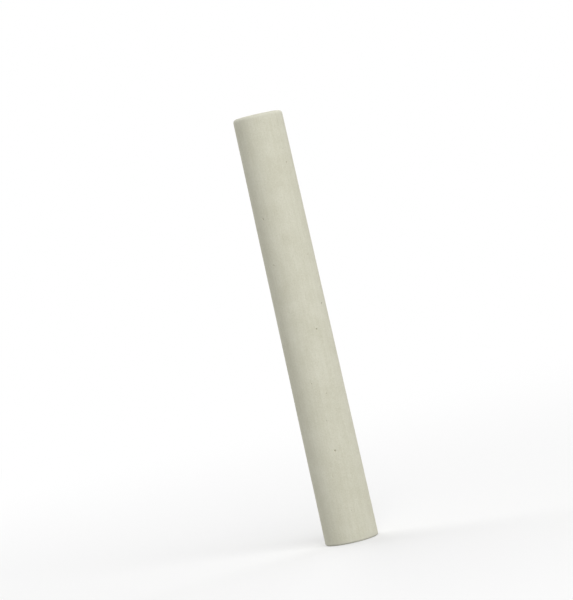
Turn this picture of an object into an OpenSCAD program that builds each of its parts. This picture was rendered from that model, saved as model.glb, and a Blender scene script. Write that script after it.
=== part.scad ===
// Stick of moulded blackboard chalk, cast as one solid in a tapered mould.
// It stands on its wide end. Millimetres, +Z up the stick's axis, with the
// origin at the centre of the face that it stands on.

/* [Stick] */
// Length from the wide face to the narrow face
stick_length = 80; // [60:1:120]
// Diameter where the side's line meets the wide face
wide_end_d = 10; // [9.5:0.1:14]
// Diameter where the side's line meets the narrow face
narrow_end_d = 9.2; // [6:0.1:9.5]

/* [Rims] */
// Rim radius of the wide face, which is scraped level at the mould's mouth
wide_rim_r = 0.3; // [0.1:0.05:1.5]
// Rim radius of the narrow face, which the mould's closed end rounds
narrow_rim_r = 0.6; // [0.1:0.05:1.4]

/* [Hidden] */
$fn = 96;
// The side's line stops this far inside each rim's arc, so they cross in one clean edge
rim_lap = 0.0001;
// Draft of the side, by which the stick leaves its mould
draft = atan((wide_end_d - narrow_end_d) / 2 / stick_length);
// Direction straight out of the tapered side
side_normal = [cos(draft), sin(draft)];
// Each rim's arc touches both its flat face and the tapered side
wide_rim_centre = [
    wide_end_d / 2 - wide_rim_r * (1 / cos(draft) + tan(draft)),
    wide_rim_r
];
narrow_rim_centre = [
    narrow_end_d / 2 - narrow_rim_r * (1 / cos(draft) - tan(draft)),
    stick_length - narrow_rim_r
];

// Half of the lengthwise section: straight faces and side, and an arc at each rim
module half_section() {
    polygon([
        [0, 0],
        [wide_rim_centre.x, 0],
        wide_rim_centre + (wide_rim_r - rim_lap) * side_normal,
        narrow_rim_centre + (narrow_rim_r - rim_lap) * side_normal,
        [narrow_rim_centre.x, stick_length],
        [0, stick_length]
    ]);
    translate(wide_rim_centre) circle(r = wide_rim_r);
    translate(narrow_rim_centre) circle(r = narrow_rim_r);
}

// The whole stick: one turn of the half section about the axis
module chalk_stick() {
    color("ivory") rotate_extrude() half_section();
}

chalk_stick();
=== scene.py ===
"""A stick of moulded white blackboard chalk, standing on its wide end on a pale studio floor."""

import math

import bmesh
import bpy
import numpy as np
from mathutils import Matrix, Vector, noise


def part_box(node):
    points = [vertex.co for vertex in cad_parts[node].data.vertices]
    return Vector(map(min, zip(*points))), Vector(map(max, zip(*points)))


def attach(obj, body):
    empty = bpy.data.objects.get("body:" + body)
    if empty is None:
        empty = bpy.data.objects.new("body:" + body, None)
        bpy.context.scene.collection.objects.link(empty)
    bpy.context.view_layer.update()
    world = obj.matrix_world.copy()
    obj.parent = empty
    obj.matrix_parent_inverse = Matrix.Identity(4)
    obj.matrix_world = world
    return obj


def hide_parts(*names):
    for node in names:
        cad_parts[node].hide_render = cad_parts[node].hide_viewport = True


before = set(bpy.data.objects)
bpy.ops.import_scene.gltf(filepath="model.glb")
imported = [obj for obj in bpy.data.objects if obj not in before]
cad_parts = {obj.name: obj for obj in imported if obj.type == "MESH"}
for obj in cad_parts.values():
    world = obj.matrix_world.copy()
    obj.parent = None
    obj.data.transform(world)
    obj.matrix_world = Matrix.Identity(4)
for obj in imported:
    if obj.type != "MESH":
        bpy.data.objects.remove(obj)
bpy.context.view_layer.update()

MM = 0.001
FULL_TURN = 2 * math.pi
QUARTER_TURN = math.pi / 2

# The stick's form, in millimetres. The mesh is turned into metres when it is stored.
FOOT_CORNER, TOP_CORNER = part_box("chalk_stick")
LENGTH = (TOP_CORNER.z - FOOT_CORNER.z) / MM
WIDE_END_D = 10.0
NARROW_END_D = 9.2
WIDE_RIM_R = 0.3
NARROW_RIM_R = 0.6
DRAFT = math.atan((WIDE_END_D - NARROW_END_D) / 2 / LENGTH)
WIDE_RIM_CENTRE = np.array([
    WIDE_END_D / 2 - WIDE_RIM_R * (1 / math.cos(DRAFT) + math.tan(DRAFT)),
    WIDE_RIM_R,
])
NARROW_RIM_CENTRE = np.array([
    NARROW_END_D / 2 - NARROW_RIM_R * (1 / math.cos(DRAFT) - math.tan(DRAFT)),
    LENGTH - NARROW_RIM_R,
])
# Heights between which the side is straight
SIDE_LOW = WIDE_RIM_CENTRE[1] + WIDE_RIM_R * math.sin(DRAFT)
SIDE_HIGH = NARROW_RIM_CENTRE[1] + NARROW_RIM_R * math.sin(DRAFT)

# The mesh's fineness
SEGMENTS = 208
SIDE_RINGS = 330
WIDE_RIM_RINGS = 6
NARROW_RIM_RINGS = 9
# Faces are cut finer round each pore, out to this share of its radius and this margin.
PORE_CUTS = 3
PORE_CUT_REACH = 1.25
PORE_CUT_MARGIN = 0.08
# Points this near each other are welded, and heights or radii this near count as the same.
WELD = 0.0001
SAME = 0.00001

# The surface that the mould, the scraper and handling left: depths and wavelengths in millimetres
WAVE_DEPTH = 0.030
WAVE_LENGTH = 11.0
RIPPLE_DEPTH = 0.010
RIPPLE_LENGTH = 2.4
WIDE_RIM_WEAR = 0.060
NARROW_RIM_WEAR = 0.035
RIM_WEAR_LENGTH = 1.3
SCRAPE_DEPTH = 0.035
SCRAPE_SPACING = 0.55
SCRAPE_RUN = 9.0
SCRAPE_EDGE_POWER = 6
TOP_DISH = 0.040

# Each kind of noise is taken at its own place in space: its number times this step.
WAVE_NOISE, RIPPLE_NOISE, WEAR_NOISE, SCRAPE_NOISE = range(1, 5)
NOISE_STEP = 17.3

# Dust on the rims thins out over these lengths from the middle of each rim.
WIDE_RIM_DUST_FADE = 0.35
NARROW_RIM_DUST_FADE = 0.45

# Air bubbles that the plaster held against the mould, now open pores. Depth is a share of the radius.
PORE_SEED = 11
PORE_COUNT = 38
PORE_SMALLEST_R = 0.10
PORE_LARGEST_R = 0.25
PORE_DEPTH = 0.75
PORE_BOWL_POWER = 0.75
PORE_MARGIN = 1.6
# The one pore whose place is known, as (turn about the axis in degrees, height, radius)
KNOWN_PORE = (195.0, 61.1, 0.20)

# Chalk's colours, as linear values. The pore colour is painted shade inside the pores and pinholes.
CHALK_SHADE = (0.574, 0.560, 0.446)
CHALK_LIGHT = (0.670, 0.660, 0.554)
CHALK_PORE_SHADE = (0.350, 0.332, 0.245)
CHALK_DUST = (0.695, 0.688, 0.600)

# Chalk's texture. A Noise node's value stays near 0.5, so its swing is spread by this much.
NOISE_SPREAD = 5.0
# The mould's marks and finer scores, in waves a millimetre round the stick and along it
MARK_WAVES = (1.7, 1.7, 0.045)
SCORE_WAVES = (6.0, 6.0, 0.11)
# How strongly the rims take the dust's colour and the pores take their painted shade
RIM_DUST = 0.5
HOLLOW_SHADE = 0.55
DULLNESS = 0.88

# The floor and the light
FLOOR_RADIUS = 4.0
FLOOR_SIDES = 96
FLOOR_DROP = 0.00002
FLOOR_COLOUR = (0.6, 0.6, 0.6)
FLOOR_LIFT = 0.28
FLOOR_FADE_START = 0.04
FLOOR_FADE_END = 0.40
ROOM_LIGHT = 0.34
LAMP_DISTANCE = 0.9
LAMP_SIZE = 0.8

# The camera stands where the photograph's stood, and leans as it did.
CAMERA_PLACE = Vector((-0.2460, -0.3706, 0.0565))
CAMERA_AZIMUTH = -33.3
CAMERA_ELEVATION = 1.39
CAMERA_ROLL = -12.61
CAMERA_LENS = 145.4
CAMERA_SENSOR = 36.0
CAMERA_NEAR = 0.01
CAMERA_FAR = 20.0

# Where the stick lies on the unit square that its material is baked onto: the side and rims as an
# unrolled strip, and the two flat ends as discs
STRIP_LOW = np.array([0.005, 0.005])
STRIP_SIZE = np.array([0.830, 0.990])
DISC_RADIUS = 0.074
FOOT_DISC_MIDDLE = np.array([0.920, 0.080])
TOP_DISC_MIDDLE = np.array([0.920, 0.240])


# ---------------------------------------------------------------- the stick's mesh


def side_radius(height):
    """Distance of the tapered side from the axis at a height."""
    return WIDE_END_D / 2 - height * math.tan(DRAFT)


def arc(centre, radius, start, end, steps):
    """Points on an arc of the profile, its two ends included."""
    angles = np.linspace(start, end, steps + 1)
    return centre + radius * np.stack([np.cos(angles), np.sin(angles)], 1)


def outline():
    """The stick's profile from the foot's flat face to the top's, as (radius, height)."""
    wide = arc(WIDE_RIM_CENTRE, WIDE_RIM_R, -QUARTER_TURN, DRAFT, WIDE_RIM_RINGS)
    narrow = arc(NARROW_RIM_CENTRE, NARROW_RIM_R, DRAFT, QUARTER_TURN, NARROW_RIM_RINGS)
    side = np.linspace(wide[-1], narrow[0], SIDE_RINGS + 1)[1:-1]
    return np.concatenate([wide, side, narrow])


def disc_points(cells):
    """A square grid of points drawn out to a round disc of radius 1, rim points evenly spaced."""
    line = np.linspace(-1, 1, cells + 1)
    a, b = (g.ravel() for g in np.meshgrid(line, line, indexing="ij"))
    wide = np.abs(a) >= np.abs(b)
    radius = np.where(wide, a, b)
    share = np.where(wide, b, a) / np.where(radius == 0, 1, radius)
    lean = QUARTER_TURN / 2 * share
    angle = np.where(wide, lean, QUARTER_TURN - lean)
    return np.stack([radius * np.cos(angle), radius * np.sin(angle)], 1)


def plain_stick():
    """The smooth stick as a bmesh of even quads."""
    rings = outline()
    turn = np.linspace(0, FULL_TURN, SEGMENTS, endpoint=False)
    points = [(r * math.cos(t), r * math.sin(t), z) for r, z in rings for t in turn]
    faces = []
    for low in range(0, (len(rings) - 1) * SEGMENTS, SEGMENTS):
        high = low + SEGMENTS
        for i in range(SEGMENTS):
            j = (i + 1) % SEGMENTS
            faces.append((low + i, low + j, high + j, high + i))
    cells = SEGMENTS // 4
    disc = disc_points(cells)
    for (radius, height), upward in ((rings[0], False), (rings[-1], True)):
        start = len(points)
        points += [(x * radius, y * radius, height) for x, y in disc]
        for i in range(cells):
            for k in range(cells):
                a = start + i * (cells + 1) + k
                face = (a, a + cells + 1, a + cells + 2, a + 1)
                faces.append(face if upward else face[::-1])
    mesh = bpy.data.meshes.new("chalk_stick_plain")
    mesh.from_pydata(points, [], faces)
    shape = bmesh.new()
    shape.from_mesh(mesh)
    bpy.data.meshes.remove(mesh)
    bmesh.ops.remove_doubles(shape, verts=shape.verts[:], dist=WELD)
    return shape


def pores():
    """Each open pore as (its centre on the side, its radius)."""
    rng = np.random.default_rng(PORE_SEED)
    found = [(math.radians(KNOWN_PORE[0]), *KNOWN_PORE[1:])]
    for _ in range(PORE_COUNT):
        turn = rng.uniform(0, FULL_TURN)
        height = rng.uniform(PORE_MARGIN, LENGTH - PORE_MARGIN)
        size = PORE_SMALLEST_R + (PORE_LARGEST_R - PORE_SMALLEST_R) * rng.random() ** 3
        found.append((turn, height, size))
    made = []
    for turn, height, size in found:
        radius = side_radius(height)
        centre = np.array([radius * math.cos(turn), radius * math.sin(turn), height])
        made.append((centre, size))
    return made


def refine(shape, places):
    """Cuts the faces round each pore finer, so that its hollow has a round shape."""
    faces = list(shape.faces)
    middles = np.array([f.calc_center_median() for f in faces])
    near = np.zeros(len(faces), bool)
    for centre, size in places:
        near |= np.linalg.norm(middles - centre, axis=1) < PORE_CUT_REACH * size + PORE_CUT_MARGIN
    shape.edges.index_update()
    edges = {e for f, n in zip(faces, near) if n for e in f.edges}
    edges = sorted(edges, key=lambda e: e.index)
    bmesh.ops.subdivide_edges(shape, edges=edges, cuts=PORE_CUTS, use_grid_fill=True)
    bmesh.ops.triangulate(shape, faces=[f for f in shape.faces if len(f.verts) > 4])


def zones(points):
    """Which points lie on the foot's flat, the wide rim, the side, the narrow rim and the top's flat."""
    radius, height = np.hypot(points[:, 0], points[:, 1]), points[:, 2]
    low = height < SIDE_LOW - SAME
    high = height > SIDE_HIGH + SAME
    foot = low & (radius <= WIDE_RIM_CENTRE[0] + SAME)
    top = high & (radius <= NARROW_RIM_CENTRE[0] + SAME)
    return foot, low & ~foot, ~low & ~high, high & ~top, top


def rim_angle(points, centre):
    """How far round a rim's arc each point is, from 0 straight outwards to a quarter turn either way."""
    radius = np.hypot(points[:, 0], points[:, 1])
    return np.arctan2(points[:, 2] - centre[1], radius - centre[0])


def outward(points):
    """The direction straight out of the smooth surface at each point."""
    foot, wide, side, narrow, top = zones(points)
    lift = np.full(len(points), DRAFT)
    lift[foot] = -QUARTER_TURN
    lift[top] = QUARTER_TURN
    lift[wide] = rim_angle(points[wide], WIDE_RIM_CENTRE)
    lift[narrow] = rim_angle(points[narrow], NARROW_RIM_CENTRE)
    turn = np.arctan2(points[:, 1], points[:, 0])
    return np.stack([np.cos(lift) * np.cos(turn), np.cos(lift) * np.sin(turn), np.sin(lift)], 1)


def rough(points, lengths, number):
    """Smooth noise from 0 to 1 whose waves have about these lengths along X, Y and Z."""
    places = points / np.array(lengths) + number * NOISE_STEP
    return np.array([0.5 + 0.5 * noise.noise(Vector(p)) for p in places]).clip(0, 1)


def relief(points, places):
    """How deep below the smooth surface each point lies, and how deep in a pore, from 0 to 1."""
    foot, wide, side, narrow, top = zones(points)

    # The mould's unevenness fades out round the wide rim, and the scraped foot has none.
    depth = WAVE_DEPTH * rough(points, [WAVE_LENGTH] * 3, WAVE_NOISE)
    depth += RIPPLE_DEPTH * rough(points, [RIPPLE_LENGTH] * 3, RIPPLE_NOISE)
    depth[foot] = 0
    depth[wide] *= (rim_angle(points[wide], WIDE_RIM_CENTRE) + QUARTER_TURN) / (QUARTER_TURN + DRAFT)

    hollow = np.zeros(len(points))
    for centre, size in places:
        away = np.linalg.norm(points - centre, axis=1) / size
        bowl = np.clip(1 - away ** 2, 0, 1) ** PORE_BOWL_POWER
        hollow = np.maximum(hollow, bowl)
        depth += PORE_DEPTH * size * bowl

    # Each rim is rubbed unevenly, and most at the middle of its arc.
    for zone, centre, wear in (
        (wide, WIDE_RIM_CENTRE, WIDE_RIM_WEAR),
        (narrow, NARROW_RIM_CENTRE, NARROW_RIM_WEAR),
    ):
        lean = np.abs(rim_angle(points[zone], centre))
        depth[zone] += wear * np.sin(2 * lean) * rough(points[zone], [RIM_WEAR_LENGTH] * 3, WEAR_NOISE)

    # The foot's scraper marks run along X and stop short of its edge. The top sinks to its middle.
    marks = rough(points[foot], [SCRAPE_RUN, SCRAPE_SPACING, 1], SCRAPE_NOISE)
    edge = np.hypot(points[foot, 0], points[foot, 1]) / WIDE_RIM_CENTRE[0]
    depth[foot] += SCRAPE_DEPTH * marks * (1 - edge ** SCRAPE_EDGE_POWER)
    edge = np.hypot(points[top, 0], points[top, 1]) / NARROW_RIM_CENTRE[0]
    depth[top] += TOP_DISH * (1 - edge ** 2)
    return depth, hollow


def rim_dust(points):
    """How much dust each point holds, from 1 at a rim's middle to 0 far off and on the flats."""
    foot, wide, side, narrow, top = zones(points)
    from_wide = np.abs(points[:, 2] - WIDE_RIM_R / 2)
    from_narrow = np.abs(points[:, 2] - LENGTH + NARROW_RIM_R / 2)
    dust = np.maximum(
        np.exp(-from_wide / WIDE_RIM_DUST_FADE),
        np.exp(-from_narrow / NARROW_RIM_DUST_FADE),
    )
    dust[foot | top] = 0
    return dust


def run_along(points):
    """How far along the profile each point is, from 0 on the foot's flat to 1 on the top's."""
    foot, wide, side, narrow, top = zones(points)
    wide_arc = WIDE_RIM_R * (QUARTER_TURN + DRAFT)
    side_run = (SIDE_HIGH - SIDE_LOW) / math.cos(DRAFT)
    narrow_arc = NARROW_RIM_R * (QUARTER_TURN - DRAFT)
    whole = wide_arc + side_run + narrow_arc
    run = wide_arc + (points[:, 2] - SIDE_LOW) / math.cos(DRAFT)
    run[foot] = 0
    run[top] = whole
    run[wide] = WIDE_RIM_R * (rim_angle(points[wide], WIDE_RIM_CENTRE) + QUARTER_TURN)
    past_side = NARROW_RIM_R * (rim_angle(points[narrow], NARROW_RIM_CENTRE) - DRAFT)
    run[narrow] = wide_arc + side_run + past_side
    return run / whole


def unrolled(mesh, points):
    """Each face corner's place on the square that the material is baked onto."""
    starts = np.array([p.loop_start for p in mesh.polygons])
    counts = np.array([p.loop_total for p in mesh.polygons])
    corner = np.array([c.vertex_index for c in mesh.loops])
    face = np.repeat(np.arange(len(starts)), counts)
    middle = np.add.reduceat(points[corner], starts) / counts[:, None]

    # A face's corners lie on the same side of the strip's seam as its middle.
    turn = np.arctan2(points[corner, 1], points[corner, 0])
    middle_turn = (np.arctan2(middle[:, 1], middle[:, 0]) % FULL_TURN)[face]
    turn += FULL_TURN * np.round((middle_turn - turn) / FULL_TURN)
    spots = STRIP_LOW + STRIP_SIZE * np.stack([turn / FULL_TURN, run_along(points)[corner]], 1)

    flat = points[corner, :2] * DISC_RADIUS / WIDE_RIM_CENTRE[0]
    for at_end, disc_middle in (
        (middle[face, 2] < SAME, FOOT_DISC_MIDDLE),
        (middle[face, 2] > LENGTH - SAME, TOP_DISC_MIDDLE),
    ):
        spots[at_end] = disc_middle + flat[at_end]
    return spots


def chalk_stick():
    """The stick as it is: a cast, tapered solid with pores, worn rims and a scraped foot."""
    places = pores()
    shape = plain_stick()
    refine(shape, places)
    mesh = bpy.data.meshes.new("chalk_stick_cast")
    shape.to_mesh(mesh)
    shape.free()

    # The finer cuts put points on flat facets, so the side's points are moved out to its round form.
    points = np.array([v.co for v in mesh.vertices], float)
    side = zones(points)[2]
    stretch = side_radius(points[side, 2]) / np.hypot(points[side, 0], points[side, 1])
    points[side, :2] *= stretch[:, None]

    layer = mesh.uv_layers.new(name="OFBake")
    layer.uv.foreach_set("vector", unrolled(mesh, points).astype(np.float32).ravel())
    depth, hollow = relief(points, places)
    # The pore attribute marks where the material paints shade into the pores; the rim attribute holds
    # where dust lies.
    for name, values in (("pore", hollow), ("rim", rim_dust(points))):
        attribute = mesh.attributes.new(name, "FLOAT", "POINT")
        attribute.data.foreach_set("value", values.astype(np.float32))
    points -= outward(points) * depth[:, None]
    mesh.vertices.foreach_set("co", (points * MM).astype(np.float32).ravel())
    mesh.shade_smooth()
    mesh.update()
    stick = bpy.data.objects.new("chalk_stick_cast", mesh)
    bpy.context.scene.collection.objects.link(stick)
    return stick


# ---------------------------------------------------------------- materials


def add(tree, kind, inputs=None, **settings):
    """A new node of a kind, with its settings, and its inputs set or linked."""
    node = tree.nodes.new("ShaderNode" + kind)
    for name, value in settings.items():
        setattr(node, name, value)
    for name, value in (inputs or {}).items():
        if isinstance(value, bpy.types.NodeSocket):
            tree.links.new(value, node.inputs[name])
        else:
            node.inputs[name].default_value = value
    return node


def calc(tree, operation, *values, clamp=False):
    """The result of a Math node on numbers or sockets, kept from 0 to 1 if clamped."""
    inputs = dict(enumerate(values))
    return add(tree, "Math", inputs, operation=operation, use_clamp=clamp).outputs[0]


def weighted(tree, start, *parts):
    """A number plus each part, which is a socket and its weight."""
    total = start
    for value, weight in parts:
        total = calc(tree, "MULTIPLY_ADD", value, weight, total)
    return total


def swing(tree, place, scale, detail, roughness):
    """Noise that swings about from -1 to 1, at so many waves a millimetre."""
    inputs = {"Vector": place, "Scale": scale, "Detail": detail, "Roughness": roughness}
    value = add(tree, "TexNoise", inputs).outputs["Fac"]
    return calc(tree, "MULTIPLY_ADD", value, NOISE_SPREAD, -NOISE_SPREAD / 2)


def stretched(tree, place, stretch):
    """A place in millimetres, scaled along X, Y and Z."""
    return add(tree, "VectorMath", {0: place, 1: stretch}, operation="MULTIPLY").outputs[0]


def holes(tree, place, scale, share, reach, edge):
    """1 inside round holes of mixed size, one in each of a share of the cells of a Voronoi pattern."""
    cells = add(tree, "TexVoronoi", {"Vector": place, "Scale": scale})
    chance = add(tree, "SeparateColor", {"Color": cells.outputs["Color"]}).outputs[0]
    size = calc(tree, "SUBTRACT", chance, 1 - share, clamp=True)
    inside = calc(tree, "MULTIPLY_ADD", size, reach / share, 0.0)
    inside = calc(tree, "SUBTRACT", inside, cells.outputs["Distance"])
    return calc(tree, "MULTIPLY", inside, edge, clamp=True)


def blend_colour(tree, share, first, second):
    """A mix of two colours, each a socket or linear values."""
    mix = add(tree, "Mix", {"Factor": share}, data_type="RGBA")
    for socket, value in ((mix.inputs[6], first), (mix.inputs[7], second)):
        if isinstance(value, bpy.types.NodeSocket):
            tree.links.new(value, socket)
        else:
            socket.default_value = (*value, 1)
    return mix.outputs[2]


def chalk_material():
    """Dry, dull plaster: powder grain, soft clouds, lengthwise mould marks, painted shade in pinholes
    and pits, dusty rims.
    """
    material = bpy.data.materials.new("moulded_chalk")
    material.use_nodes = True
    tree = material.node_tree
    shader = tree.nodes["Principled BSDF"]
    coordinates = add(tree, "TexCoord").outputs["Object"]
    place = add(tree, "VectorMath", {0: coordinates, "Scale": 1 / MM}, operation="SCALE").outputs[0]

    clouds = swing(tree, place, scale=0.30, detail=4, roughness=0.55)
    bloom = swing(tree, place, scale=0.11, detail=2, roughness=0.5)
    grain = swing(tree, place, scale=3.2, detail=3, roughness=0.65)
    powder = swing(tree, place, scale=9.0, detail=2, roughness=0.6)
    marks = swing(tree, stretched(tree, place, MARK_WAVES), scale=1.0, detail=3, roughness=0.6)
    scores = swing(tree, stretched(tree, place, SCORE_WAVES), scale=1.0, detail=2, roughness=0.6)
    pinhole = holes(tree, place, scale=1.15, share=0.18, reach=0.11, edge=16.0)
    pit = holes(tree, place, scale=2.7, share=0.35, reach=0.26, edge=9.0)

    # The tone differs at random, and painted shade darkens it in the small pits.
    tone = weighted(
        tree,
        0.5,
        (clouds, 0.22),
        (bloom, 0.12),
        (grain, 0.30),
        (powder, 0.22),
        (marks, 0.14),
        (scores, 0.10),
        (pit, -0.35),
    )
    colour = blend_colour(tree, tone, CHALK_SHADE, CHALK_LIGHT)
    rim = add(tree, "Attribute", attribute_name="rim").outputs["Fac"]
    colour = blend_colour(tree, calc(tree, "MULTIPLY", rim, RIM_DUST), colour, CHALK_DUST)
    # Painted shade darkens the pores and the pinholes.
    pore = add(tree, "Attribute", attribute_name="pore").outputs["Fac"]
    hollow = calc(tree, "MAXIMUM", pore, pinhole)
    colour = blend_colour(tree, calc(tree, "MULTIPLY", hollow, HOLLOW_SHADE), colour, CHALK_PORE_SHADE)

    dull = weighted(tree, DULLNESS, (grain, 0.04), (marks, -0.05), (bloom, 0.03))
    dull = calc(tree, "MINIMUM", dull, 1.0)

    # Heights in millimetres, which the Bump node's distance turns into metres
    height = weighted(
        tree,
        0.0,
        (grain, 0.0060),
        (powder, 0.0024),
        (marks, 0.0040),
        (scores, 0.0016),
        (pit, -0.0160),
        (pinhole, -0.0450),
    )
    bump = add(tree, "Bump", {"Height": height, "Distance": MM, "Strength": 1.0})

    tree.links.new(colour, shader.inputs["Base Color"])
    tree.links.new(dull, shader.inputs["Roughness"])
    tree.links.new(bump.outputs["Normal"], shader.inputs["Normal"])
    shader.inputs["Diffuse Roughness"].default_value = 0.15
    shader.inputs["Specular IOR Level"].default_value = 0.25
    return material


def seen_directly(tree):
    """1 for rays that show what lies behind: the camera's own and those off or through a surface."""
    path = add(tree, "LightPath").outputs
    seen = calc(tree, "MAXIMUM", path["Is Camera Ray"], path["Is Glossy Ray"])
    return calc(tree, "MAXIMUM", seen, path["Is Transmission Ray"])


def floor_material():
    """A pale floor that holds the stick's shadow and turns into the white background further out."""
    material = bpy.data.materials.new("studio_floor")
    material.use_nodes = True
    tree = material.node_tree
    tree.nodes.remove(tree.nodes["Principled BSDF"])
    coordinates = add(tree, "TexCoord").outputs["Object"]
    away = add(tree, "VectorMath", {0: coordinates}, operation="LENGTH").outputs["Value"]
    far = add(
        tree,
        "MapRange",
        {"Value": away, "From Min": FLOOR_FADE_START, "From Max": FLOOR_FADE_END},
        interpolation_type="SMOOTHSTEP",
    ).outputs[0]
    seen = seen_directly(tree)
    far_seen = calc(tree, "MULTIPLY", far, seen)
    lift = calc(tree, "MULTIPLY", calc(tree, "SUBTRACT", seen, far_seen), FLOOR_LIFT)
    paint = add(tree, "BsdfDiffuse", {"Color": (*FLOOR_COLOUR, 1)}).outputs[0]
    white = add(tree, "Emission", {"Color": (1, 1, 1, 1), "Strength": 1.0}).outputs[0]
    veil = add(tree, "Emission", {"Color": (1, 1, 1, 1), "Strength": lift}).outputs[0]
    mixed = add(tree, "MixShader", {0: far_seen, 1: paint, 2: white}).outputs[0]
    both = add(tree, "AddShader", {0: mixed, 1: veil}).outputs[0]
    tree.links.new(both, tree.nodes["Material Output"].inputs["Surface"])
    return material


# ---------------------------------------------------------------- the studio


def studio_floor():
    """A wide round floor just under the stick's foot."""
    shape = bmesh.new()
    bmesh.ops.create_circle(shape, cap_ends=True, segments=FLOOR_SIDES, radius=FLOOR_RADIUS)
    mesh = bpy.data.meshes.new("studio_floor")
    shape.to_mesh(mesh)
    shape.free()
    floor = bpy.data.objects.new("studio_floor", mesh)
    floor.location.z = FOOT_CORNER.z - FLOOR_DROP
    floor.data.materials.append(floor_material())
    bpy.context.scene.collection.objects.link(floor)


def room_light():
    """Even white light from all round, behind which the camera sees plain white."""
    world = bpy.data.worlds.new("studio_room")
    world.use_nodes = True
    tree = world.node_tree
    strength = calc(tree, "MULTIPLY_ADD", seen_directly(tree), 1 - ROOM_LIGHT, ROOM_LIGHT)
    background = tree.nodes["Background"]
    background.inputs["Color"].default_value = (1, 1, 1, 1)
    tree.links.new(strength, background.inputs["Strength"])
    bpy.context.scene.world = world


def away_from_stick(azimuth, elevation):
    """A direction from the stick, by degrees turned from -Y towards +X and degrees upwards."""
    turn, lift = math.radians(azimuth), math.radians(elevation)
    level = math.cos(lift)
    return Vector((math.sin(turn) * level, -math.cos(turn) * level, math.sin(lift)))


def softbox(name, azimuth, elevation, power):
    """A large square lamp that faces the middle of the stick from the given direction."""
    way = away_from_stick(azimuth, elevation)
    lamp = bpy.data.lights.new(name, "AREA")
    lamp.shape = "SQUARE"
    lamp.size = LAMP_SIZE
    lamp.energy = power
    holder = bpy.data.objects.new(name, lamp)
    holder.location = Vector((0, 0, LENGTH * MM / 2)) + way * LAMP_DISTANCE
    holder.rotation_euler = way.to_track_quat("Z", "Y").to_euler()
    bpy.context.scene.collection.objects.link(holder)


def camera():
    """The camera, turned and leaned as the photograph's was."""
    back = away_from_stick(CAMERA_AZIMUTH, CAMERA_ELEVATION)
    turn, roll = math.radians(CAMERA_AZIMUTH), math.radians(CAMERA_ROLL)
    level = Vector((math.cos(turn), math.sin(turn), 0))
    upright = back.cross(level)
    right = level * math.cos(roll) + upright * math.sin(roll)
    up = upright * math.cos(roll) - level * math.sin(roll)
    data = bpy.data.cameras.new("camera")
    data.sensor_width = CAMERA_SENSOR
    data.lens = CAMERA_LENS
    data.clip_start = CAMERA_NEAR
    data.clip_end = CAMERA_FAR
    holder = bpy.data.objects.new("camera", data)
    turned = Matrix((right, up, back)).transposed().to_4x4()
    holder.matrix_world = Matrix.Translation(CAMERA_PLACE) @ turned
    bpy.context.scene.collection.objects.link(holder)
    bpy.context.scene.camera = holder


camera()
studio_floor()
room_light()
softbox("key", azimuth=-12, elevation=38, power=6.7)
softbox("fill", azimuth=105, elevation=26, power=2.2)
softbox("back", azimuth=175, elevation=30, power=5.3)
bpy.context.scene.view_settings.view_transform = "Standard"

stick = chalk_stick()
stick.data.materials.append(chalk_material())
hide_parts("chalk_stick")
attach(stick, "root")
